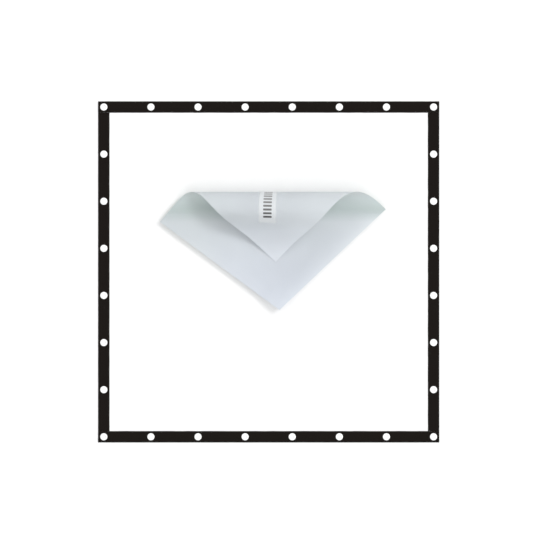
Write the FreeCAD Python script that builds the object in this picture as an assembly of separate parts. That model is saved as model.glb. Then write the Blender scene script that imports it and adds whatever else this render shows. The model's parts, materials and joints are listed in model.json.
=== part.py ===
import FreeCAD, Part

import math
import os

from FreeCAD import Vector

# A square diffusion panel: a white cloth held in a border of folded black webbing,
# with a row of two-part eyelets along every side. A smaller loose sheet of the same
# cloth lies in the middle with one corner rolled over towards the viewer.
# Millimetres. X and Y lie in the panel, +Z up, origin under the panel's centre.

# ---- driving dimensions ----
SIDE = 1200.0              # outer edge of the panel
BORDER = 40.0              # width of the border once the webbing is folded
WEBBING = 1.0              # thickness of one layer of webbing
CLOTH = 0.5                # thickness of the diffusion cloth
SEAM = 12.0                # how far the cloth reaches into the fold
BUTT_GAP = 0.2             # between the side tapes and the top and bottom tapes

EYELETS_ALONG = 8          # in a row, counting both corners
HOLE_R = 6.0               # the eyelet's bore
BARREL_R = 6.5             # outside of the eyelet's barrel
PUNCHED_R = 6.7            # hole punched through the webbing
FLANGE_R = 12.5            # eyelet flange and washer
FLANGE_H = 1.2             # crown of the flange above the webbing
FLANGE_EDGE = 0.1          # thickness of the flange at its rim
CROWN_ROUND = 1.3          # radius that turns the crown into the barrel
LIP_R = 8.6                # the barrel's lower end, rolled outwards
LIP = 0.5                  # thickness of that rolled lip
LIP_CLEAR = 0.3            # lip above the surface that the panel lies on
LIP_ROUND = 0.6            # radius that turns the barrel into the lip
WASHER = 1.2               # overall height of the washer
WASHER_SEAT = 0.35         # thickness of the washer where the lip grips it
WASHER_FOOT_R = 9.4        # inner edge of the washer's flat foot
WASHER_ROUND = 0.5

THREAD_W = 0.8
THREAD_H = 0.25
STITCH_INSET = 3.5         # each row of stitching, from the edge of the border
THREAD_END = 4.0           # where a row stops, from the end of its tape

SHEET = 0.5                # thickness of the loose sheet
SHEET_GAP = 0.3            # loose sheet above the panel's cloth
CORNER_LEFT = (-382.0, 176.0)
CORNER_NEAR = (38.0, -134.0)
CORNER_RIGHT = (411.0, 220.0)
CORNER_ROLLED = (5.5, 631.0)   # where the rolled corner lies once unrolled flat

# the roll is part of a cone: its fold lines meet at an apex far out to the left
ROLL_APEX = (-1650.0, 280.0)
ROLL_FLARE = 0.0358        # roll radius per millimetre from the apex
ROLL_TURN = 214.0          # degrees from the sheet round to the folded corner
FOLDS = 6
FOLD_GAP = 0.8             # between the plates on either side of a fold line

LABEL = 0.2                # thickness of the label
LABEL_W = 61.0
LABEL_X = -7.0             # middle of the label's free end
LABEL_START = 462.0        # the label's free end, from the sheet laid flat
LABEL_END = 318.0
LABEL_TILT = 3.5           # degrees, so that it lies straight once rolled over
LABEL_FIRST_PLATE = 3      # the first plate of the roll that carries it

# ---- levels ----
Z_WEBBING = WASHER
Z_CLOTH = Z_WEBBING + WEBBING
Z_BORDER_TOP = Z_CLOTH + CLOTH + WEBBING
Z_SHEET = Z_CLOTH + CLOTH + SHEET_GAP + SHEET / 2.0

HALF = SIDE / 2.0
INNER = HALF - BORDER
ROW = HALF - BORDER / 2.0
PITCH = 2.0 * ROW / (EYELETS_ALONG - 1)
UP = Vector(0, 0, 1)
CENTRE = Vector(0, 0, 0)
SIDES = {"bottom": 0.0, "right": 90.0, "top": 180.0, "left": 270.0}
# each side's eyelets are two groups, named after the end of the side they are nearer
GROUPS = {
    "bottom": ("left", "right"),
    "right": ("lower", "upper"),
    "top": ("right", "left"),
    "left": ("upper", "lower"),
}


def save(name, solids):
    shape = solids[0] if len(solids) == 1 else Part.makeCompound(solids)
    shape.exportStep("parts/" + name + ".step")


def polygon_prism(points, low, high):
    corners = [Vector(x, y, low) for x, y in points]
    face = Part.Face(Part.makePolygon(corners + corners[:1]))
    return face.extrude(Vector(0, 0, high - low))


def box(x0, x1, y0, y1, z0, z1):
    return Part.makeBox(x1 - x0, y1 - y0, z1 - z0, Vector(x0, y0, z0))


def line(a, b):
    return Part.LineSegment(Vector(*a), Vector(*b)).toShape()


def arc(a, middle, b):
    return Part.Arc(Vector(*a), Vector(*middle), Vector(*b)).toShape()


def revolved(edges):
    face = Part.Face(Part.Wire(edges))
    return face.revolve(CENTRE, UP, 360)


def turned(shape, degrees):
    copy = shape.copy()
    copy.rotate(CENTRE, UP, degrees)
    return copy


# ---- the panel's cloth ----
def diffusion_cloth():
    reach = INNER + SEAM
    return box(-reach, reach, -reach, reach, Z_CLOTH, Z_CLOTH + CLOTH)


# ---- the border: webbing folded in half over the cloth's edge ----
def eyelet_places(with_corners):
    first = 0 if with_corners else 1
    return [-ROW + PITCH * i for i in range(first, EYELETS_ALONG - first)]


def binding(half_length, with_corners):
    """The bottom tape, its fold along the panel's lower edge."""
    low, high = Z_WEBBING, Z_BORDER_TOP
    middle = (low + high) / 2.0
    fold = (high - low) / 2.0
    slot = CLOTH / 2.0
    edge, start, inner = -HALF, -HALF + fold, -INNER
    x = -half_length
    profile = [
        line((x, inner, low), (x, start, low)),
        arc((x, start, low), (x, edge, middle), (x, start, high)),
        line((x, start, high), (x, inner, high)),
        line((x, inner, high), (x, inner, middle + slot)),
        line((x, inner, middle + slot), (x, start, middle + slot)),
        arc((x, start, middle + slot), (x, start - slot, middle), (x, start, middle - slot)),
        line((x, start, middle - slot), (x, inner, middle - slot)),
        line((x, inner, middle - slot), (x, inner, low)),
    ]
    tape = Part.Face(Part.Wire(profile)).extrude(Vector(2.0 * half_length, 0, 0))
    holes = [
        Part.makeCylinder(PUNCHED_R, high - low + 2.0, Vector(place, -ROW, low - 1.0), UP)
        for place in eyelet_places(with_corners)
    ]
    return tape.cut(Part.makeCompound(holes))


def stitching(half_length):
    """Needle and bobbin thread of the outer and the inner row of one tape."""
    reach = half_length - THREAD_END
    faces = (Z_BORDER_TOP, Z_WEBBING - THREAD_H)
    rows = (-HALF + STITCH_INSET, -INNER - STITCH_INSET)
    return [
        box(-reach, reach, y - THREAD_W / 2.0, y + THREAD_W / 2.0, z, z + THREAD_H)
        for y in rows
        for z in faces
    ]


# ---- the eyelets ----
def eyelet():
    """Domed flange, barrel and the lip that is rolled out over the washer."""
    low = LIP_CLEAR
    crown = Z_BORDER_TOP + FLANGE_H
    crown_r = HOLE_R + CROWN_ROUND
    rim_z = Z_BORDER_TOP + FLANGE_EDGE
    drop = crown - rim_z
    dome = ((FLANGE_R - crown_r) ** 2 + drop ** 2) / (2.0 * drop)
    half_angle = math.asin((FLANGE_R - crown_r) / dome) / 2.0
    dome_middle = (
        crown_r + dome * math.sin(half_angle),
        0,
        crown - dome * (1.0 - math.cos(half_angle)),
    )
    corner = math.sqrt(0.5)
    lip_centre = HOLE_R + LIP_ROUND
    lip_end = LIP_R - LIP / 2.0
    return revolved([
        line((HOLE_R, 0, crown - CROWN_ROUND), (HOLE_R, 0, low + LIP_ROUND)),
        arc(
            (HOLE_R, 0, low + LIP_ROUND),
            (lip_centre - LIP_ROUND * corner, 0, low + LIP_ROUND * (1.0 - corner)),
            (lip_centre, 0, low),
        ),
        line((lip_centre, 0, low), (lip_end, 0, low)),
        arc((lip_end, 0, low), (LIP_R, 0, low + LIP / 2.0), (lip_end, 0, low + LIP)),
        line((lip_end, 0, low + LIP), (BARREL_R, 0, low + LIP)),
        line((BARREL_R, 0, low + LIP), (BARREL_R, 0, Z_BORDER_TOP)),
        line((BARREL_R, 0, Z_BORDER_TOP), (FLANGE_R, 0, Z_BORDER_TOP)),
        line((FLANGE_R, 0, Z_BORDER_TOP), (FLANGE_R, 0, rim_z)),
        arc((FLANGE_R, 0, rim_z), dome_middle, (crown_r, 0, crown)),
        arc(
            (crown_r, 0, crown),
            (crown_r - CROWN_ROUND * corner, 0, crown - CROWN_ROUND * (1.0 - corner)),
            (HOLE_R, 0, crown - CROWN_ROUND),
        ),
    ])


def washer():
    """The ring under the webbing, with a flat foot and a seat for the rolled lip."""
    seat = WASHER - WASHER_SEAT
    foot_end = FLANGE_R - WASHER_ROUND
    corner = WASHER_ROUND * math.sqrt(0.5)
    return revolved([
        line((PUNCHED_R, 0, WASHER), (FLANGE_R, 0, WASHER)),
        line((FLANGE_R, 0, WASHER), (FLANGE_R, 0, WASHER_ROUND)),
        arc(
            (FLANGE_R, 0, WASHER_ROUND),
            (foot_end + corner, 0, WASHER_ROUND - corner),
            (foot_end, 0, 0),
        ),
        line((foot_end, 0, 0), (WASHER_FOOT_R, 0, 0)),
        line((WASHER_FOOT_R, 0, 0), (LIP_R + WASHER_SEAT, 0, seat)),
        line((LIP_R + WASHER_SEAT, 0, seat), (PUNCHED_R, 0, seat)),
        line((PUNCHED_R, 0, seat), (PUNCHED_R, 0, WASHER)),
    ])


def row_of(shape, places):
    copies = []
    for place in places:
        copy = shape.copy()
        copy.translate(Vector(place, -ROW, 0))
        copies.append(copy)
    return copies


# ---- the loose sheet: cut out flat, then folded line by line round the roll ----
STEP = math.radians(ROLL_TURN / FOLDS)


def on_cone(theta, reach):
    """Direction from the apex to a point of the roll, theta round from below."""
    y = -ROLL_FLARE + reach * math.sin(theta)
    return Vector(1.0, y, ROLL_FLARE - reach * math.cos(theta))


FOLD_LINES = [
    on_cone((k + 0.5) * STEP, ROLL_FLARE / math.cos(STEP / 2.0)) for k in range(FOLDS)
]
PLATE_LINES = [on_cone(k * STEP, ROLL_FLARE) for k in range(FOLDS + 1)]
NORMALS = [UP] + [f.cross(p) for f, p in zip(FOLD_LINES, PLATE_LINES[1:])]
FOLD_ANGLES = [math.degrees(a.getAngle(b)) for a, b in zip(NORMALS, NORMALS[1:])]


def flat_fold_directions():
    """Angle of each fold line about the apex in the flat sheet."""
    angles = [math.atan2(FOLD_LINES[0].y, FOLD_LINES[0].x)]
    for a, b in zip(FOLD_LINES, FOLD_LINES[1:]):
        angles.append(angles[-1] + a.getAngle(b))
    return angles


FLAT_ANGLES = flat_fold_directions()
APEX = Vector(ROLL_APEX[0], ROLL_APEX[1], Z_SHEET)
NEAR_APEX, PAST_SHEET = 600.0, 3000.0      # a wedge's two ends, from the apex
WIDE = math.radians(40.0)                  # past the sheet's corners on either side


def wedge(plate, low, high):
    """The flat area between two fold lines, less half the gap along each."""
    first = FLAT_ANGLES[plate - 1] if plate else -WIDE
    last = FLAT_ANGLES[plate] if plate < FOLDS else WIDE
    inset = FOLD_GAP / 2.0

    def at(radius, angle, shift):
        x = APEX.x + radius * math.cos(angle) - shift * math.sin(angle)
        return x, APEX.y + radius * math.sin(angle) + shift * math.cos(angle)

    return polygon_prism(
        [
            at(NEAR_APEX, first, inset),
            at(PAST_SHEET, first, inset),
            at(PAST_SHEET, last, -inset),
            at(NEAR_APEX, last, -inset),
        ],
        low,
        high,
    )


def folded(shape, plate):
    """Turns a piece cut from the flat sheet up round every fold before it."""
    for k in reversed(range(plate)):
        along = Vector(math.cos(FLAT_ANGLES[k]), math.sin(FLAT_ANGLES[k]), 0)
        shape.rotate(APEX, along, FOLD_ANGLES[k])
    return shape


def sheet_plate(plate):
    low, high = Z_SHEET - SHEET / 2.0, Z_SHEET + SHEET / 2.0
    corners = [CORNER_LEFT, CORNER_NEAR, CORNER_RIGHT, CORNER_ROLLED]
    return folded(polygon_prism(corners, low, high).common(wedge(plate, low, high)), plate)


def label_plate(plate):
    """The label is on the side of the sheet that faces down until it is rolled."""
    high = Z_SHEET - SHEET / 2.0
    low = high - LABEL
    half = LABEL_W / 2.0
    strip = box(LABEL_X - half, LABEL_X + half, LABEL_END, LABEL_START, low, high)
    strip.rotate(Vector(LABEL_X, LABEL_START, low), UP, LABEL_TILT)
    return folded(strip.common(wedge(plate, low, high)), plate)


def plate_name(plate):
    return "flap" if plate == FOLDS else "roll_" + str(plate)


os.makedirs("parts", exist_ok=True)
save("diffusion_cloth", [diffusion_cloth()])
for side, angle in SIDES.items():
    across = side in ("top", "bottom")
    tape_half = HALF if across else INNER - BUTT_GAP
    save("binding_" + side, [turned(binding(tape_half, across), angle)])
    save("stitching_" + side, [turned(s, angle) for s in stitching(tape_half)])
    places = eyelet_places(across)
    middle = len(places) // 2
    for end, group in zip(GROUPS[side], (places[:middle], places[middle:])):
        where = side + "_" + end
        save("eyelets_" + where, [turned(s, angle) for s in row_of(eyelet(), group)])
        save("washers_" + where, [turned(s, angle) for s in row_of(washer(), group)])

save("sheet_base", [sheet_plate(0)])
for number in range(1, FOLDS + 1):
    save("sheet_" + plate_name(number), [sheet_plate(number)])
for number in range(LABEL_FIRST_PLATE, FOLDS + 1):
    save("label_" + plate_name(number), [label_plate(number)])

print("fold angles", [round(a, 3) for a in FOLD_ANGLES])
print("flat directions", [round(math.degrees(a), 3) for a in FLAT_ANGLES])
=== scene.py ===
import json
import math

import bpy
import numpy as np
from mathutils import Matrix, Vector


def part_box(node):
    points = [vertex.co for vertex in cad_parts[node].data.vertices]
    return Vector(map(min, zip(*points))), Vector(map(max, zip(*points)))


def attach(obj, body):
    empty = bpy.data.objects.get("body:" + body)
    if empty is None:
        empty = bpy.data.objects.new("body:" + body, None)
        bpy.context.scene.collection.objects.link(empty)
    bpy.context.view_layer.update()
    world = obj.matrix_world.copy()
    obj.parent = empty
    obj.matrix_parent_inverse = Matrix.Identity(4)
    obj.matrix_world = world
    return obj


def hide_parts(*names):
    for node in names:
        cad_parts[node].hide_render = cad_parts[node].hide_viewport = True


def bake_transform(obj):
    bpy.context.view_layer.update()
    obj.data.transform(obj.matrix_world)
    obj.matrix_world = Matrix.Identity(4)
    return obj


# A square diffusion panel: white cloth in a border of folded black webbing with white
# eyelets, and a loose sheet of frosted cloth on it with one corner rolled over.
# Metres. X and Y lie in the panel, +Z is up.

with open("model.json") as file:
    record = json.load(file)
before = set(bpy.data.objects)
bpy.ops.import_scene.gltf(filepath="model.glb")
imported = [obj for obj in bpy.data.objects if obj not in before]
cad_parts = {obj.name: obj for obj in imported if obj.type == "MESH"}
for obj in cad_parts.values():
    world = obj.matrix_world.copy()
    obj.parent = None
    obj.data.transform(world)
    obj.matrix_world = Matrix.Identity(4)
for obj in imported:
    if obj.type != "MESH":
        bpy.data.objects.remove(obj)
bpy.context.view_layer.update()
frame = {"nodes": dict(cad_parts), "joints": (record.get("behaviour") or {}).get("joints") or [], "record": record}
MM = 0.001

# ---- sizes read from the frame ----
TAPE_LOW, TAPE_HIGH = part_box("binding_bottom")
CLOTH_LOW, CLOTH_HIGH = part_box("diffusion_cloth")
SHEET_LOW, SHEET_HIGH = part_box("sheet_base")
HALF = TAPE_HIGH[0]
BORDER = TAPE_HIGH[1] - TAPE_LOW[1]
INNER = HALF - BORDER
SIDE_TAPE_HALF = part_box("binding_left")[1][1]
Z_UNDER, Z_TOP = TAPE_LOW[2], TAPE_HIGH[2]
Z_CLOTH = (CLOTH_LOW[2] + CLOTH_HIGH[2]) / 2
Z_SHEET = (SHEET_LOW[2] + SHEET_HIGH[2]) / 2
EYELETS = {
    m["name"]: m["pos_m"][:2] for m in frame["record"]["mounts"] if m["kind"] == "bore"
}
HINGES = [j for j in frame["joints"] if j["type"] == "hinge"]
SIDES = {"bottom": 0, "right": 90, "top": 180, "left": 270}

# ---- the loose sheet, as it is cut flat, and the cone that it is rolled round ----
CORNER_LEFT = (-0.382, 0.176)
CORNER_NEAR = (0.038, -0.134)
CORNER_RIGHT = (0.411, 0.220)
CORNER_ROLLED = (0.0055, 0.631)
SHEET = 0.5 * MM
APEX = np.array([-1.650, 0.280])
REACH = -APEX[0]             # from the apex to the panel's middle
FLARE = 0.037                # the cone's radius over the distance from its apex
TURN = math.radians(214.0)
FOLDS = len(HINGES)

# ---- the section of the roll and of the flap, in radii of the roll ----
SECTION_END = 7.6
SECTION_STEPS = 7600
DROP = math.radians(10)      # the flap first turns this much steeper than the roll ends
DROP_OVER = 0.7
FLATTEN = 1.8                # and then flatter again, by this many times as much
FLATTEN_FROM = 1.1
FLATTEN_OVER = 1.2

# ---- how the sheet has settled ----
FLAP_SAG = 17 * MM
FLAP_SAG_FROM = -38.5 * MM   # where on the cut the sag starts, counted from the roll's end
FLAP_SAG_OVER = 110 * MM     # how far down the flap it takes to grow
FLAP_REST = 3 * MM           # height of the flap's tip over the sheet
EDGE_LIFT = {"left": 24 * MM, "right": 18 * MM}      # height of the free edges
EDGE_BAND = {"left": 75 * MM, "right": 65 * MM}      # how far in from an edge it fades
CREASE_Y = 0.205             # y on the cut where the ends of the roll rise from a crease
CREASE_RISE = 13 * MM
CREASE_STEEP = 21 * MM       # how soon after the crease the rise is reached
CREASE_BAND = {"left": 130 * MM, "right": 100 * MM}  # how far in from the roll's ends
CREASE_GONE_FROM = 0.28      # y on the cut where the rise starts to go down again
CREASE_GONE_OVER = 100 * MM

# ---- the label, on the cut; it runs from its free end, LABEL_START, towards the roll ----
LABEL_WIDTH = 61 * MM
LABEL_X = -7 * MM
LABEL_START, LABEL_END = 0.462, 0.318
LABEL_TILT = math.radians(3.5)
LABEL = 0.2 * MM
LABEL_GAP = 0.05 * MM


# ================================================================ meshes
def piece(name, points, faces, material, flat=None, sharp=35):
    mesh = bpy.data.meshes.new(name)
    mesh.from_pydata(np.asarray(points).tolist(), [], faces)
    mesh.polygons.foreach_set("use_smooth", [True] * len(mesh.polygons))
    mesh.set_sharp_from_angle(angle=math.radians(sharp))
    if flat is not None:
        corners = np.empty(len(mesh.loops), int)
        mesh.loops.foreach_get("vertex_index", corners)
        layer = mesh.uv_layers.new(name="flat")
        layer.data.foreach_set("uv", np.asarray(flat)[corners].ravel())
    mesh.materials.append(material)
    mesh.update()
    obj = bpy.data.objects.new(name, mesh)
    bpy.context.scene.collection.objects.link(obj)
    return obj


def without_repeats(corners):
    kept = [c for i, c in enumerate(corners) if c != corners[i - 1]]
    return tuple(kept) if len(kept) > 2 else None


def shell(middle, normals, thickness):
    """Points and faces of a closed shell round a grid, whose end rows may be one point."""
    rows, columns = middle.shape[:2]
    index = np.arange(rows * columns).reshape(rows, columns)
    for row in (0, rows - 1):
        if np.ptp(middle[row], axis=0).max() < 1e-7:
            index[row] = index[row, 0]
    used, index = np.unique(index, return_inverse=True)
    index = index.reshape(rows, columns)
    centre = middle.reshape(-1, 3)[used]
    offset = normals.reshape(-1, 3)[used] * thickness / 2
    count = len(used)
    faces = []
    for i in range(rows - 1):
        for j in range(columns - 1):
            quad = (index[i, j], index[i, j + 1], index[i + 1, j + 1], index[i + 1, j])
            quad = without_repeats([int(c) for c in quad])
            if quad:
                faces.append(quad)
                faces.append(tuple(c + count for c in reversed(quad)))
    rim = list(index[0, :-1]) + list(index[:-1, -1])
    rim += list(index[-1, :0:-1]) + list(index[:0:-1, 0])
    for a, b in zip(rim, rim[1:] + rim[:1]):
        if a != b:
            a, b = int(a), int(b)
            faces.append((b, a, a + count, b + count))
    return np.vstack([centre + offset, centre - offset]), faces, used


def tube_faces(rings, sides):
    """Faces of a closed tube, given ring by ring."""
    index = np.arange(rings * sides).reshape(rings, sides)
    ahead = np.roll(index, -1, axis=1)
    walls = np.stack([index[:-1], ahead[:-1], ahead[1:], index[1:]], axis=-1)
    ends = [index[0, ::-1].tolist(), index[-1].tolist()]
    return walls.reshape(-1, 4).tolist() + ends


def lathe(profile, turns, centres):
    """Closed rings with one profile of (radius, height), one ring round each centre."""
    ring = np.array(profile)
    angles = np.arange(turns) * 2 * math.pi / turns
    wheel = np.stack(
        [
            np.outer(np.cos(angles), ring[:, 0]),
            np.outer(np.sin(angles), ring[:, 0]),
            np.tile(ring[:, 1], (turns, 1)),
        ],
        axis=-1,
    ).reshape(-1, 3)
    points, faces, n = [], [], len(ring)
    for number, (x, y) in enumerate(centres):
        points.append(wheel + (x, y, 0))
        base = number * turns * n
        for i in range(turns):
            for j in range(n):
                k, m = (i + 1) % turns, (j + 1) % n
                corners = (i * n + j, k * n + j, k * n + m, i * n + m)
                faces.append(tuple(base + c for c in corners))
    return np.vstack(points), faces


def arc(centre, radius, first, last, steps=8):
    """Points of a section round a centre, from one angle to another in degrees."""
    angles = np.radians(np.linspace(first, last, steps + 1))
    return [(centre[0] + radius * math.cos(a), centre[1] + radius * math.sin(a)) for a in angles]


def unit(vectors):
    return vectors / np.linalg.norm(vectors, axis=-1, keepdims=True)


def smooth(share):
    share = np.clip(share, 0, 1)
    return share * share * (3 - 2 * share)


def bell(distance, width):
    return np.exp(-((distance / width) ** 2))


def turned(points, degrees):
    c, s = math.cos(math.radians(degrees)), math.sin(math.radians(degrees))
    points = np.asarray(points, float)
    x, y = points[:, 0], points[:, 1]
    return np.stack([c * x - s * y, s * x + c * y, points[:, 2]], axis=1)


# ================================================================ materials
class Shader:
    """A node material: a principled shader, and short ways to add to it."""

    def __init__(self, name):
        self.material = bpy.data.materials.new(name)
        self.material.use_nodes = True
        self.nodes = self.material.node_tree.nodes
        self.links = self.material.node_tree.links
        self.surface = self.nodes["Principled BSDF"]
        self.output = self.nodes["Material Output"]
        self.coordinates = self.nodes.new("ShaderNodeTexCoord")

    def add(self, kind, inputs=(), **settings):
        node = self.nodes.new(kind)
        for key, value in settings.items():
            setattr(node, key, value)
        for key, value in dict(inputs).items():
            self.put(node.inputs[key], value)
        return node

    def put(self, socket, value):
        if isinstance(value, bpy.types.NodeSocket):
            self.links.new(value, socket)
        else:
            socket.default_value = value

    def math(self, operation, *values):
        return self.add("ShaderNodeMath", enumerate(values), operation=operation).outputs[0]

    def mapped(self, where, scale, turn=0.0):
        inputs = {
            "Vector": self.coordinates.outputs[where],
            "Scale": scale,
            "Rotation": (0, 0, turn),
        }
        return self.add("ShaderNodeMapping", inputs).outputs[0]

    def noise(self, vector, scale, detail=3.0, roughness=0.5):
        inputs = {"Vector": vector, "Scale": scale, "Detail": detail, "Roughness": roughness}
        return self.add("ShaderNodeTexNoise", inputs).outputs["Fac"]

    def wave(self, vector, scale, direction, distortion=0.0):
        settings = {"wave_type": "BANDS", "bands_direction": direction, "wave_profile": "SIN"}
        inputs = {"Vector": vector, "Scale": scale, "Distortion": distortion}
        return self.add("ShaderNodeTexWave", inputs, **settings).outputs["Fac"]

    def ramp(self, factor, *stops):
        node = self.add("ShaderNodeValToRGB", {"Fac": factor})
        elements = node.color_ramp.elements
        while len(elements) < len(stops):
            elements.new(0.5)
        for element, (place, colour) in zip(elements, stops):
            element.position = place
            element.color = (*colour, 1)
        return node.outputs["Color"]

    def mix(self, factor, a, b):
        node = self.add("ShaderNodeMix", data_type="RGBA")
        for socket, value in zip((node.inputs[0], node.inputs[6], node.inputs[7]), (factor, a, b)):
            self.put(socket, value)
        return node.outputs[2]

    def multiplied(self, a, b):
        colour = self.mix(1.0, a, b)
        colour.node.blend_type = "MULTIPLY"
        return colour

    def tinted(self, metres, *tints):
        """Colours given at places along a flat coordinate."""
        first, last = tints[0][0], tints[-1][0]
        share = self.math("MULTIPLY_ADD", metres, 1 / (last - first), -first / (last - first))
        return self.ramp(share, *[((place - first) / (last - first), c) for place, c in tints])

    def bump(self, height, distance, strength=1.0, before=None):
        inputs = {"Height": height, "Distance": distance, "Strength": strength}
        if before is not None:
            inputs["Normal"] = before
        return self.add("ShaderNodeBump", inputs).outputs[0]

    def finish(self, **inputs):
        for key, value in inputs.items():
            self.put(self.surface.inputs[key.replace("_", " ")], value)
        return self.material

    def let_light_through(self, share, colour, normal):
        glow = self.add("ShaderNodeBsdfTranslucent", {"Color": colour, "Normal": normal})
        both = self.add("ShaderNodeMixShader", {0: share})
        self.links.new(self.surface.outputs[0], both.inputs[1])
        self.links.new(glow.outputs[0], both.inputs[2])
        self.links.new(both.outputs[0], self.output.inputs["Surface"])


def grey(value):
    return (value, value, value)


def diffusion_cloth_material():
    s = Shader("diffusion_cloth")
    place = s.mapped("Object", (1, 1, 1))
    warp = s.wave(place, 520.0, "X", 0.6)
    weft = s.wave(place, 520.0, "Y", 0.6)
    weave = s.math("MULTIPLY", warp, weft)
    mottle = s.noise(place, 14.0, 4.0)
    colour = s.ramp(mottle, (0.3, (0.94, 0.94, 0.94)), (0.7, (0.95, 0.95, 0.95)))
    roughness = s.ramp(s.noise(place, 160.0), (0.3, grey(0.66)), (0.7, grey(0.80)))
    soft = s.bump(mottle, 0.4 * MM, 0.5)
    normal = s.bump(weave, 0.06 * MM, 0.5, soft)
    s.let_light_through(0.15, (0.94, 0.95, 0.95, 1), normal)
    return s.finish(Base_Color=colour, Roughness=roughness, Normal=normal, Specular_IOR_Level=0.3)


def webbing_material():
    s = Shader("webbing")
    place = s.mapped("UV", (1, 1, 1))
    ribs = s.wave(place, 330.0, "X")
    lines = s.wave(place, 210.0, "Y", 0.4)
    twill = s.wave(s.mapped("UV", (1, 1, 1), math.radians(38)), 420.0, "X", 0.8)
    weave = s.math("ADD", s.math("MULTIPLY", ribs, lines), s.math("MULTIPLY", twill, 0.5))
    fuzz = s.noise(place, 900.0, 4.0, 0.7)
    wear = s.noise(place, 22.0, 5.0, 0.6)
    dark = s.ramp(weave, (0.2, (0.0028, 0.0016, 0.0010)), (1.0, (0.0080, 0.0050, 0.0036)))
    faded = s.mix(s.math("MULTIPLY", wear, 0.35), dark, (0.0175, 0.0135, 0.0115, 1))
    normal = s.bump(fuzz, 0.05 * MM, 0.4, s.bump(weave, 0.22 * MM, 0.8))
    roughness = s.ramp(wear, (0.2, grey(0.74)), (0.8, grey(0.92)))
    return s.finish(
        Base_Color=faded, Roughness=roughness, Normal=normal, Specular_IOR_Level=0.12
    )


def thread_material():
    s = Shader("thread")
    place = s.mapped("Object", (1, 1, 1))
    strands = s.wave(s.mapped("Object", (1, 1, 1), math.radians(35)), 900.0, "X", 0.3)
    tone = s.noise(place, 60.0)
    colour = s.ramp(tone, (0.3, (0.012, 0.0105, 0.0095)), (0.7, (0.024, 0.021, 0.019)))
    normal = s.bump(strands, 0.08 * MM, 0.7)
    return s.finish(Base_Color=colour, Roughness=0.55, Normal=normal, Specular_IOR_Level=0.3)


def eyelet_material():
    s = Shader("eyelet")
    place = s.mapped("Object", (1, 1, 1))
    tone = s.noise(place, 45.0, 4.0)
    colour = s.ramp(tone, (0.3, (0.86, 0.86, 0.855)), (0.7, (0.90, 0.90, 0.895)))
    roughness = s.ramp(s.noise(place, 260.0), (0.3, grey(0.26)), (0.7, grey(0.40)))
    normal = s.bump(s.noise(place, 420.0, 2.0), 0.03 * MM, 0.5)
    return s.finish(Base_Color=colour, Roughness=roughness, Normal=normal, Coat_Weight=0.25)


def frosted_material():
    """Frosted cloth with painted shade: greyer at the near corner, at both ends of the roll and along the crease,
    and a little lighter on the flap. The tints are given by place on the cut, in metres, up the panel and across
    it."""
    s = Shader("frosted_sheet")
    place = s.mapped("UV", (1, 1, 1))
    mottle = s.noise(place, 9.0, 5.0, 0.55)
    frost = s.noise(place, 1400.0, 3.0, 0.6)
    warp = s.wave(place, 640.0, "X", 0.8)
    weft = s.wave(place, 640.0, "Y", 0.8)
    weave = s.math("MULTIPLY", warp, weft)
    plain = s.ramp(mottle, (0.3, (0.812, 0.836, 0.925)), (0.7, (0.842, 0.866, 0.955)))
    flat = s.add("ShaderNodeSeparateXYZ", {"Vector": s.coordinates.outputs["UV"]})
    unshaded, tip = (1.0, 1.0, 1.0), (1.0, 1.0, 0.990)
    painted_shade_near_corner, base = (0.860, 0.868, 0.884), (0.922, 0.927, 0.918)
    painted_crease_shade, painted_shade_on_roll = (0.788, 0.832, 0.790), (0.895, 0.900, 0.882)
    painted_shade_left_end, painted_shade_right_end = (0.865, 0.878, 0.875), (0.955, 0.960, 0.965)
    # painted shade and light up the cut: darker at the near corner, darkest and greenest in the crease where the
    # roll's ends rise, darker on the roll, lighter towards the flap's tip
    along = s.tinted(
        flat.outputs[1],
        (-0.14, painted_shade_near_corner),
        (0.14, base),
        (0.175, (0.927, 0.932, 0.918)),
        (0.22, painted_crease_shade),
        (0.265, (0.850, 0.880, 0.856)),
        (0.315, painted_shade_on_roll),
        (0.43, painted_shade_on_roll),
        (0.50, tip),
    )
    # painted shade across the cut: darker towards the left end of the roll, a little darker at the right end
    across = s.tinted(
        flat.outputs[0],
        (-0.38, painted_shade_left_end),
        (-0.27, (0.955, 0.960, 0.950)),
        (-0.12, unshaded),
        (0.33, unshaded),
        (0.41, painted_shade_right_end),
    )
    # painted shade and light: the tints up and across the cut multiplied together, laid on the colour and on the
    # light let through
    painted_light_and_shade = s.multiplied(along, across)
    colour = s.multiplied(plain, painted_light_and_shade)
    roughness = s.ramp(frost, (0.3, grey(0.46)), (0.7, grey(0.62)))
    soft = s.bump(mottle, 0.8 * MM, 0.4)
    normal = s.bump(frost, 0.03 * MM, 0.4, s.bump(weave, 0.05 * MM, 0.4, soft))
    through = s.multiplied(painted_light_and_shade, (0.973, 0.998, 0.960, 1))
    s.let_light_through(0.48, through, normal)
    return s.finish(Base_Color=colour, Roughness=roughness, Normal=normal, Specular_IOR_Level=0.2)


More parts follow.
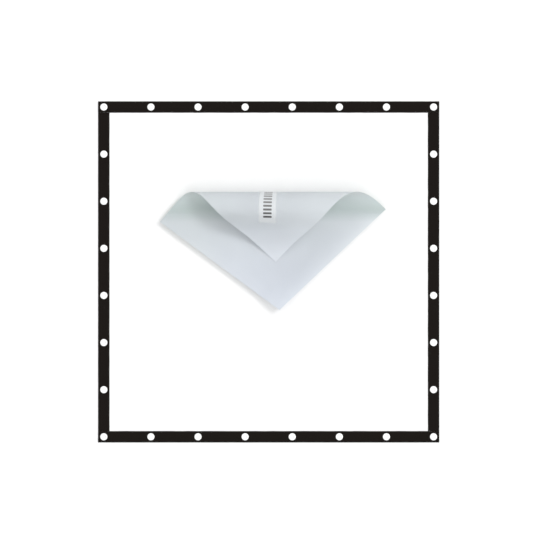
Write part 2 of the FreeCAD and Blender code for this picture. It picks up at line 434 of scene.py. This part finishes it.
def label_material():
    """White satin with a row of rounded grey bars printed on it; its flat coordinates are
    metres across from the middle and metres from the free end."""
    s = Shader("label")
    split = s.add("ShaderNodeSeparateXYZ", {"Vector": s.coordinates.outputs["UV"]})
    across, along = split.outputs[0], split.outputs[1]
    pitch, first = 13.0 * MM, 17.5 * MM
    bar_half, bar_half_height, corner = 15.0 * MM, 3.6 * MM, 2.2 * MM
    step = s.math("DIVIDE", s.math("SUBTRACT", along, first), pitch)
    local = s.math("MULTIPLY", s.math("SUBTRACT", s.math("FRACT", step), 0.5), pitch)
    out_x = s.math("SUBTRACT", s.math("ABSOLUTE", across), bar_half - corner)
    out_y = s.math("SUBTRACT", s.math("ABSOLUTE", local), bar_half_height - corner)
    out_x = s.math("MAXIMUM", out_x, 0.0)
    out_y = s.math("MAXIMUM", out_y, 0.0)
    reach = s.math("SQRT", s.math("ADD", s.math("POWER", out_x, 2.0), s.math("POWER", out_y, 2.0)))
    inside = s.math("LESS_THAN", reach, corner)
    printed = s.math("MULTIPLY", inside, s.math("GREATER_THAN", along, first))
    thread = s.wave(s.mapped("UV", (1, 1, 1)), 900.0, "Y", 0.4)
    cloth = s.ramp(thread, (0.0, (0.575, 0.60, 0.62)), (1.0, (0.625, 0.65, 0.665)))
    ink = s.ramp(s.math("MULTIPLY", along, 11.0), (0.2, grey(0.05)), (1.0, grey(0.24)))
    colour = s.mix(printed, cloth, ink)
    roughness = s.ramp(thread, (0.0, grey(0.36)), (1.0, grey(0.5)))
    normal = s.bump(thread, 0.04 * MM, 0.5)
    return s.finish(Base_Color=colour, Roughness=roughness, Normal=normal)


CLOTH_MATERIAL = diffusion_cloth_material()
WEBBING_MATERIAL = webbing_material()
THREAD_MATERIAL = thread_material()
EYELET_MATERIAL = eyelet_material()
FROSTED_MATERIAL = frosted_material()
LABEL_MATERIAL = label_material()


# ================================================================ the panel's cloth
def panel_cloth():
    """Stretched white cloth: it hangs a little between the tapes and puckers at the seam."""
    reach, cells = CLOTH_HIGH[0], 190
    clear, hang, hang_band = 0.02 * MM, 1.1 * MM, 60 * MM
    pucker_depth, pucker_pitch, pucker_band, seam = 0.28 * MM, 34 * MM, 26 * MM, 7 * MM
    along = np.linspace(-reach, reach, cells + 1)
    x, y = np.meshgrid(along, along)
    middle = np.stack([x, y, np.full_like(x, Z_CLOTH - clear)], axis=-1)
    from_edge = INNER - np.maximum(abs(x), abs(y))
    sag = np.sin(x * 9.1 + 1.3 * np.sin(y * 5.3)) * np.sin(y * 7.7 + 1.1 * np.sin(x * 6.1 + 2))
    low = (0.55 + 0.45 * sag) * hang * smooth(from_edge / hang_band)
    run = np.where(abs(x) > abs(y), y, x)
    pucker = np.sin(run * 2 * math.pi / pucker_pitch + 2.1 * np.sin(run * 17))
    near = np.exp(-np.clip(from_edge, 0, None) / pucker_band) * np.clip(from_edge / seam, 0, 1)
    low += pucker_depth * near * (1 + pucker)
    middle[..., 2] -= low
    rise_y, rise_x = np.gradient(middle[..., 2], along, along)
    normals = unit(np.stack([-rise_x, -rise_y, np.ones_like(x)], axis=-1))
    points, faces, _ = shell(middle, normals, CLOTH_HIGH[2] - CLOTH_LOW[2] - 3 * clear)
    cloth = piece("panel_cloth", points, faces, CLOTH_MATERIAL)
    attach(cloth, "panel")
    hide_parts("diffusion_cloth")


# ================================================================ the border
STITCH_PITCH = 4.5 * MM
STITCH_INSET = 3.5 * MM
STITCH_MARGIN = 4.0 * MM
WEBBING = 1.0 * MM
PUNCHED_R = 6.7 * MM
THREAD_R = 0.35 * MM
THREAD_PROUD = 0.25 * MM
THREAD_SPAN = (0.06, 0.94)   # the part of the pitch that a stitch covers
THREAD_DIP = 0.5 * MM        # how far a stitch goes in at its ends
THREAD_SKEW = 0.1 * MM
DENT, DENT_R = 0.24 * MM, 0.8 * MM           # where a stitch enters the webbing
FURROW, FURROW_HALF = 0.10 * MM, 1.0 * MM    # along a row of stitches
WAVER = 0.16 * MM            # the inner edge isn't quite straight
NEAR_STITCH = (-0.9, -0.45, 0, 0.45, 0.9)    # mm from a stitch, where the mesh is finer
STITCH_ROWS = (-HALF + STITCH_INSET, -INNER - STITCH_INSET)
EYELET_ROW = -EYELETS["eyelet_bottom_1"][1]
EYELET_PITCH = EYELETS["eyelet_bottom_2"][0] - EYELETS["eyelet_bottom_1"][0]


def eyelet_places(with_corners):
    first = 0 if with_corners else 1
    count = round(2 * EYELET_ROW / EYELET_PITCH) + 1
    return [-EYELET_ROW + EYELET_PITCH * i for i in range(first, count - first)]


def stitch_holes(half_length):
    count = int(2 * (half_length - STITCH_MARGIN) / STITCH_PITCH)
    return (np.arange(count + 1) - count / 2) * STITCH_PITCH


def tape_profile():
    """The folded webbing's outline in (y, z), from the upper free edge round the fold."""
    fold = (Z_TOP - Z_UNDER) / 2
    middle = (Z_TOP + Z_UNDER) / 2
    slot = fold - WEBBING
    start = -HALF + fold
    edge = -INNER - WEBBING / 2
    around_stitch = np.array(NEAR_STITCH) * MM
    across = np.concatenate(
        [
            [edge],
            STITCH_ROWS[1] + around_stitch,
            np.linspace(STITCH_ROWS[1] - 3 * MM, STITCH_ROWS[0] + 3 * MM, 10),
            STITCH_ROWS[0] + around_stitch,
        ]
    )
    across = np.sort(across[across > start + 0.2 * MM])[::-1]
    inside = np.linspace(edge, start, 10)
    outline = [(y, Z_TOP) for y in across]
    outline += arc((start, middle), fold, 90, 270, 12)
    outline += [(y, Z_UNDER) for y in across[::-1]]
    outline += arc((edge, Z_UNDER + WEBBING / 2), WEBBING / 2, -90, 90)[1:]
    outline += [(y, middle - slot) for y in inside[1:]]
    outline += arc((start, middle), slot, 270, 90)[1:-1]
    outline += [(y, middle + slot) for y in inside[::-1]]
    outline += arc((edge, Z_TOP - WEBBING / 2), WEBBING / 2, -90, 90)[1:-1]
    return np.array(outline)


def pressed(profile, sections, holes):
    """How far the stitches pull the webbing in, at each section and point of the profile."""
    after = np.clip(np.searchsorted(holes, sections), 1, len(holes) - 1)
    gap = np.minimum(abs(sections - holes[after]), abs(sections - holes[after - 1]))
    depth = np.zeros((len(sections), len(profile)))
    for row in STITCH_ROWS:
        across = profile[None, :, 0] - row
        depth += DENT * bell(np.hypot(gap[:, None], across), DENT_R)
        depth += FURROW * bell(across, FURROW_HALF)
    top = profile[:, 1] > Z_TOP - 0.01 * MM
    under = profile[:, 1] < Z_UNDER + 0.01 * MM
    return depth * (under.astype(float) - top.astype(float))


def punch(obj, places):
    """Cuts the eyelets' holes through a tape."""
    points, faces = [], []
    turns = 48
    for place in places:
        base = len(points)
        for z in (Z_UNDER - 2 * MM, Z_TOP + 2 * MM):
            for a in np.arange(turns) * 2 * math.pi / turns:
                x, y = place + PUNCHED_R * math.cos(a), -EYELET_ROW + PUNCHED_R * math.sin(a)
                points.append((x, y, z))
        for i in range(turns):
            k = (i + 1) % turns
            faces.append((base + i, base + k, base + turns + k, base + turns + i))
        faces.append(tuple(base + i for i in reversed(range(turns))))
        faces.append(tuple(base + turns + i for i in range(turns)))
    cutter = piece("cutter", points, faces, WEBBING_MATERIAL)
    modifier = obj.modifiers.new("holes", "BOOLEAN")
    modifier.operation = "DIFFERENCE"
    modifier.solver = "MANIFOLD"
    modifier.object = cutter
    cut = bpy.data.meshes.new_from_object(obj.evaluated_get(bpy.context.evaluated_depsgraph_get()))
    obj.modifiers.clear()
    obj.data = cut
    bpy.data.objects.remove(cutter)
    cut.set_sharp_from_angle(angle=math.radians(35))


def tape(side, degrees, half_length, places):
    profile = tape_profile()
    holes = stitch_holes(half_length)
    near_holes = [holes + shift * MM for shift in NEAR_STITCH[::2]]
    sections = np.sort(np.concatenate([(-half_length, half_length), *near_holes]))
    m, n = len(sections), len(profile)
    x = np.repeat(sections[:, None], n, axis=1)
    waver = WAVER * np.sin(sections * 61 + 1.7 * np.sin(sections * 23))[:, None]
    free = np.clip((profile[None, :, 0] + HALF) / BORDER, 0, 1) ** 2
    y = profile[None, :, 0] + waver * free
    z = profile[None, :, 1] + pressed(profile, sections, holes)
    around = np.concatenate([[0], np.cumsum(np.hypot(*np.diff(profile, axis=0).T))])
    flat = np.stack([x, np.tile(around, (m, 1))], axis=-1).reshape(-1, 2)
    faces = tube_faces(m, n)
    points = np.stack([x, y, z], axis=-1).reshape(-1, 3)
    obj = piece("tape_" + side, points, faces, WEBBING_MATERIAL, flat)
    punch(obj, places)
    turn_mesh(obj, degrees)
    fasten(obj, "panel", "webbing", "binding_" + side)


def stitches(side, degrees, half_length):
    """Every single stitch of both rows, above and below: a short thread that dips at its ends."""
    sides, rings = 6, 6
    along = np.linspace(*THREAD_SPAN, rings)
    height = THREAD_PROUD - THREAD_R - THREAD_DIP * abs(2 * along - 1) ** 4
    angles = np.arange(sides) * 2 * math.pi / sides
    tube = np.zeros((rings, sides, 3))
    tube[..., 0] = along[:, None] * STITCH_PITCH
    tube[..., 1] = THREAD_R * np.cos(angles)
    tube[..., 2] = height[:, None] + THREAD_R * np.sin(angles)
    faces = tube_faces(rings, sides)
    holes = stitch_holes(half_length)
    all_points, all_faces, count = [], [], 0
    for row in STITCH_ROWS:
        for above in (True, False):
            for number, hole in enumerate(holes[:-1]):
                points = tube.reshape(-1, 3).copy()
                skew = THREAD_SKEW * math.sin(number * 2.4)
                points[:, 1] += row + skew * (2 * points[:, 0] / STITCH_PITCH - 1)
                points[:, 0] += hole
                points[:, 2] = Z_TOP + points[:, 2] if above else Z_UNDER - points[:, 2]
                all_points.append(points)
                order = faces if above else [face[::-1] for face in faces]
                all_faces += [[c + count for c in face] for face in order]
                count += len(points)
    points = turned(np.vstack(all_points), degrees)
    obj = piece("stitches_" + side, points, all_faces, THREAD_MATERIAL, sharp=60)
    fasten(obj, "panel", "thread", "stitching_" + side)


def turn_mesh(obj, degrees):
    points = np.empty(len(obj.data.vertices) * 3)
    obj.data.vertices.foreach_get("co", points)
    obj.data.vertices.foreach_set("co", turned(points.reshape(-1, 3), degrees).ravel())
    obj.data.update()


def fasten(obj, body, slot, *nodes):
    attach(obj, body)
    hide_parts(*nodes)


# ================================================================ the eyelets
BORE_R = 6.0 * MM
BARREL_R = 6.5 * MM
LIP_R = 8.6 * MM
FLANGE_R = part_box("eyelets_bottom_left")[1][1] + EYELET_ROW
EYELET_TURNS = 72


def eyelet_profile():
    """Pressed flange with a rounded crown and rim, the barrel and the lip rolled out below."""
    low, lip = 0.3 * MM, 0.5 * MM
    crown = Z_TOP + 1.2 * MM
    crown_round, rim = 1.3 * MM, 0.16 * MM
    inner = 0.6 * MM
    crown_r = BORE_R + crown_round
    rim_z = Z_TOP + rim
    outline = arc((BORE_R + inner, low + inner), inner, 180, 270, 5)
    outline += arc((LIP_R - lip / 2, low + lip / 2), lip / 2, -90, 90, 6)
    outline += [(BARREL_R, low + lip), (BARREL_R, Z_TOP)]
    outline += arc((FLANGE_R - rim, rim_z), rim, -90, 60, 5)
    share = np.linspace(0, 1, 12)[1:]
    start = np.array(outline[-1])
    rise = np.sin(share * math.pi / 2)
    dome_r = start[0] + (crown_r - start[0]) * share
    outline += list(zip(dome_r, start[1] + (crown - start[1]) * rise))
    outline += arc((crown_r, crown - crown_round), crown_round, 90, 180, 8)[1:]
    return outline


def washer_profile():
    height, seat, foot_r = Z_UNDER, 0.35 * MM, 9.4 * MM
    corner, edge = 0.5 * MM, 0.15 * MM
    outline = [(foot_r, 0)]
    outline += arc((FLANGE_R - corner, corner), corner, -90, 0, 5)
    outline += arc((FLANGE_R - edge, height - edge), edge, 0, 90, 3)
    outline += [(PUNCHED_R, height), (PUNCHED_R, height - seat), (LIP_R + seat, height - seat)]
    return outline


def eyelets():
    for node in frame["nodes"]:
        kind = node.split("_")[0]
        if kind not in ("eyelets", "washers"):
            continue
        low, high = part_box(node)
        centres = [
            (x, y)
            for x, y in EYELETS.values()
            if low[0] <= x <= high[0] and low[1] <= y <= high[1]
        ]
        profile = eyelet_profile() if kind == "eyelets" else washer_profile()
        points, faces = lathe(profile, EYELET_TURNS, centres)
        name = node.replace("eyelets", "rings").replace("washers", "backs")
        obj = piece(name, points, faces, EYELET_MATERIAL)
        fasten(obj, "panel", "eyelet", node)


# ================================================================ the loose sheet
def section():
    """The roll's section one metre from the apex, and the angle opened out along it: an arc
    up to TURN, then the flap, which drops steeply and lies flatter towards its tip."""
    travel = np.linspace(0, SECTION_END, SECTION_STEPS + 1)
    past = travel - TURN
    flatter = FLATTEN * smooth((past - FLATTEN_FROM) / FLATTEN_OVER)
    heading = np.minimum(travel, TURN) + DROP * (smooth(past / DROP_OVER) - flatter)
    step = travel[1] - travel[0]
    moves = np.stack([np.cos(heading), np.sin(heading)], axis=-1)
    walked = np.vstack([[0, 0], np.cumsum((moves[1:] + moves[:-1]) / 2 * step, axis=0)])
    walked[:, 0] -= 1
    rays = unit(np.hstack([np.ones((len(travel), 1)), FLARE * walked]))
    turns = np.linalg.norm(np.diff(rays, axis=0), axis=1)
    return travel, rays, np.concatenate([[0], np.cumsum(turns)])


TRAVEL, RAYS, OPENED = section()
TOUCH = -math.atan(FLARE)       # flat angle about the apex where the sheet leaves the panel


def flat_angle(travel):
    return TOUCH + float(np.interp(travel, TRAVEL, OPENED))


def ray_angle(flat):
    """Angle about the apex at which points lie on the cut."""
    away = flat - APEX
    return np.arctan2(away[..., 1], away[..., 0])


def rolled(flat):
    """Points of the flat cut, taken round the roll without stretching it."""
    reach = np.linalg.norm(flat - APEX, axis=-1)
    angle = ray_angle(flat) - TOUCH
    direction = unit(np.stack([np.interp(angle, OPENED, RAYS[:, k]) for k in range(3)], axis=-1))
    points = direction * reach[..., None]
    points[..., :2] += APEX
    below = angle < 0
    points[below, :2] = flat[below]
    points[below, 2] = 0
    points[..., 2] += Z_SHEET
    return points


def from_line(flat, a, b):
    """Distance of flat points from the line through a and b, positive to its left."""
    a, b = np.array(a), np.array(b)
    along = (b - a) / np.hypot(*(b - a))
    return along[0] * (flat[..., 1] - a[1]) - along[1] * (flat[..., 0] - a[0])


def lift(flat):
    """The free edges of the sheet stand a little off the panel, and both ends of the roll
    start from a crease."""
    left = from_line(flat, CORNER_LEFT, CORNER_NEAR)
    right = from_line(flat, CORNER_NEAR, CORNER_RIGHT)
    edges = EDGE_LIFT["left"] * bell(left, EDGE_BAND["left"])
    edges += EDGE_LIFT["right"] * bell(right, EDGE_BAND["right"])
    ends = bell(from_line(flat, CORNER_ROLLED, CORNER_LEFT), CREASE_BAND["left"])
    ends += bell(from_line(flat, CORNER_RIGHT, CORNER_ROLLED), CREASE_BAND["right"])
    past = np.clip(flat[..., 1] - CREASE_Y, 0, None)
    gone = smooth((flat[..., 1] - CREASE_GONE_FROM) / CREASE_GONE_OVER)
    return edges + ends * CREASE_RISE * (1 - np.exp(-past / CREASE_STEEP)) * (1 - gone)


def landed(height, flat):
    """The flap sags until its tip lies on the sheet; height is over the sheet's own plane."""
    past = ray_angle(flat) - flat_angle(TURN)
    sagging = smooth((past * REACH - FLAP_SAG_FROM) / FLAP_SAG_OVER)
    gap = height - FLAP_SAG - FLAP_REST
    low = FLAP_REST + (gap + np.hypot(gap, 2 * FLAP_REST)) / 2
    return height + sagging * (low - height)


def settled(flat):
    points = rolled(flat)
    points[..., 2] = Z_SHEET + landed(points[..., 2] - Z_SHEET, flat) + lift(flat)
    return points


def surface(flat):
    """Points of the settled sheet and its normals, on the side that faces up when flat."""
    h = 0.4 * MM
    across = settled(flat + (h, 0)) - settled(flat - (h, 0))
    along = settled(flat + (0, h)) - settled(flat - (0, h))
    return settled(flat), unit(np.cross(across, along))


def reaches(outline, angle):
    """Nearest and furthest crossing of a convex outline by a ray from the apex."""
    ray = np.array([math.cos(angle), math.sin(angle)])
    found = []
    for a, b in zip(outline, np.roll(outline, -1, axis=0)):
        a, b = a - APEX, b - APEX
        turn = ray[0] * (b - a)[1] - ray[1] * (b - a)[0]
        share = (ray[1] * a[0] - ray[0] * a[1]) / turn
        if -1e-9 <= share <= 1 + 1e-9:
            found.append((a + share * (b - a)) @ ray)
    return min(found), max(found)


def rows_between(first, last, stops, step):
    """Angles from first to last, through every stop, with a narrow row at each end."""
    narrow = 0.3 * MM / REACH
    inner = [s for s in stops if first + 2 * narrow < s < last - 2 * narrow]
    marks = [first, first + narrow, *sorted(inner), last - narrow, last]
    rows = [first]
    for a, b in zip(marks, marks[1:]):
        count = max(1, math.ceil((b - a) / step - 1e-6))
        rows += list(np.linspace(a, b, count + 1)[1:])
    return rows


def flat_grid(outline, first, last, columns, stops):
    """Points of a flat cut in rows along rays from the apex, and the angle that it opens."""
    corners = ray_angle(outline)
    first, last = max(first, min(corners)), min(last, max(corners))
    angles = rows_between(first, last, [*corners, *stops], 2.2 * MM / REACH)
    grid = []
    for angle in angles:
        near, far = reaches(outline, angle)
        ray = np.array([math.cos(angle), math.sin(angle)])
        grid.append(APEX + np.linspace(near, far, columns + 1)[:, None] * ray)
    return np.array(grid), last - first


def across_hinge(obj):
    """Bakes a piece's transform into its mesh."""
    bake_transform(obj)


SHEET_OUTLINE = np.array([CORNER_LEFT, CORNER_NEAR, CORNER_RIGHT, CORNER_ROLLED])


def plate_range(fold):
    """Flat angles between which the sheet bends round one fold line."""
    first = flat_angle(fold * TURN / FOLDS) if fold else -1.0
    last = flat_angle((fold + 1) * TURN / FOLDS) if fold < FOLDS - 1 else 1.0
    return first, last


def loose_sheet():
    columns = 128
    for fold in range(FOLDS):
        first, last = plate_range(fold)
        grid, opening = flat_grid(SHEET_OUTLINE, first, last, columns, [TOUCH, flat_angle(TURN)])
        middle, normals = surface(grid)
        points, faces, used = shell(middle, normals, SHEET)
        flat = np.tile(grid.reshape(-1, 2)[used], (2, 1))
        obj = piece(f"loose_sheet_{fold + 1}", points, faces, FROSTED_MATERIAL, flat)
        across_hinge(obj)
        body = HINGES[fold]["child"]
        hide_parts("sheet_" + body, *(["sheet_base"] if fold == 0 else []))


def label_outline():
    c, s = math.cos(LABEL_TILT), math.sin(LABEL_TILT)
    half, length = LABEL_WIDTH / 2, LABEL_START - LABEL_END
    corners = np.array([(-half, -length), (half, -length), (half, 0), (-half, 0)])
    return corners @ np.array([(c, s), (-s, c)]) + (LABEL_X, LABEL_START)


def label_places(grid):
    """Metres across the label from its middle, and from its free end."""
    c, s = math.cos(LABEL_TILT), math.sin(LABEL_TILT)
    local = (grid - (LABEL_X, LABEL_START)) @ np.array([(c, -s), (s, c)])
    return local * (1, -1)


def label():
    outline = label_outline()
    away = SHEET / 2 + LABEL_GAP + LABEL / 2
    columns = 16
    for fold in range(FOLDS):
        body = HINGES[fold]["child"]
        if "label_" + body not in frame["nodes"]:
            continue
        first, last = plate_range(fold)
        grid, opening = flat_grid(outline, first, last, columns, [flat_angle(TURN)])
        middle, normals = surface(grid)
        points, faces, used = shell(middle - normals * away, normals, LABEL)
        flat = np.tile(label_places(grid).reshape(-1, 2)[used], (2, 1))
        obj = piece(f"label_part_{fold + 1}", points, faces, LABEL_MATERIAL, flat)
        across_hinge(obj)
        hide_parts("label_" + body)


# ================================================================ stage, light and camera
VIEW_WIDTH = 1.6128 * 2 * HALF
VIEW_CENTRE = (0.0222, -0.0109)
LENS, SENSOR = 250, 36
SKY = 0.50
SKY_BEHIND = 0.16           # added towards the side that the roll points at
SKY_ABOVE = 0.74            # added overhead


def floor():
    reach, under = 40.0, -0.1 * MM
    corners = [(-reach, -reach), (reach, -reach), (reach, reach), (-reach, reach)]
    s = Shader("floor")
    tone = s.noise(s.mapped("Object", (1, 1, 1)), 0.7, 2.0)
    colour = s.ramp(tone, (0.3, (0.89, 0.89, 0.89)), (0.7, (0.91, 0.91, 0.91)))
    s.finish(Base_Color=colour, Roughness=0.9, Specular_IOR_Level=0.1)
    points = [(x, y, under) for x, y in corners]
    piece("floor", points, [(0, 1, 2, 3)], s.material)


def lights():
    world = bpy.data.worlds.new("studio")
    world.use_nodes = True
    nodes, links = world.node_tree.nodes, world.node_tree.links
    way = nodes.new("ShaderNodeSeparateXYZ")
    links.new(nodes.new("ShaderNodeTexCoord").outputs["Generated"], way.inputs[0])

    def step(operation, *values):
        node = nodes.new("ShaderNodeMath")
        node.operation = operation
        for socket, value in zip(node.inputs, values):
            if isinstance(value, bpy.types.NodeSocket):
                links.new(value, socket)
            else:
                socket.default_value = value
        return node.outputs[0]

    behind = step("MULTIPLY_ADD", way.outputs["Y"], SKY_BEHIND, SKY)
    up = step("MAXIMUM", way.outputs["Z"], 0.0)
    strength = step("MULTIPLY_ADD", step("POWER", up, 2.0), SKY_ABOVE, behind)
    background = nodes["Background"]
    background.inputs["Color"].default_value = (1.0, 1.0, 1.0, 1)
    links.new(strength, background.inputs["Strength"])
    bpy.context.scene.world = world
    lamp("key", energy=0.90, angle=20, turn=35, height=54)
    lamp("fill", energy=0.66, angle=60, turn=-42, height=61)


def lamp(name, energy, angle, turn, height):
    """A far, soft light; turn is its direction in the panel's plane, all in degrees."""
    data = bpy.data.lights.new(name, "SUN")
    data.energy = energy
    data.angle = math.radians(angle)
    turn, height = math.radians(turn), math.radians(height)
    back = (
        math.cos(turn) * math.cos(height),
        math.sin(turn) * math.cos(height),
        math.sin(height),
    )
    obj = bpy.data.objects.new(name, data)
    obj.rotation_euler = Vector(back).to_track_quat("Z", "Y").to_euler()
    bpy.context.scene.collection.objects.link(obj)


def camera():
    data = bpy.data.cameras.new("camera")
    data.lens = LENS
    data.sensor_width = SENSOR
    data.clip_end = 100
    obj = bpy.data.objects.new("camera", data)
    obj.location = (*VIEW_CENTRE, VIEW_WIDTH * LENS / SENSOR)
    bpy.context.scene.collection.objects.link(obj)
    bpy.context.scene.camera = obj


def whole_object():
    for side, degrees in SIDES.items():
        across = side in ("top", "bottom")
        half_length = HALF if across else SIDE_TAPE_HALF
        tape(side, degrees, half_length, eyelet_places(across))
        stitches(side, degrees, half_length)
    panel_cloth()
    eyelets()
    loose_sheet()
    label()


whole_object()
floor()
lights()
camera()
bpy.context.scene.view_settings.view_transform = "Standard"
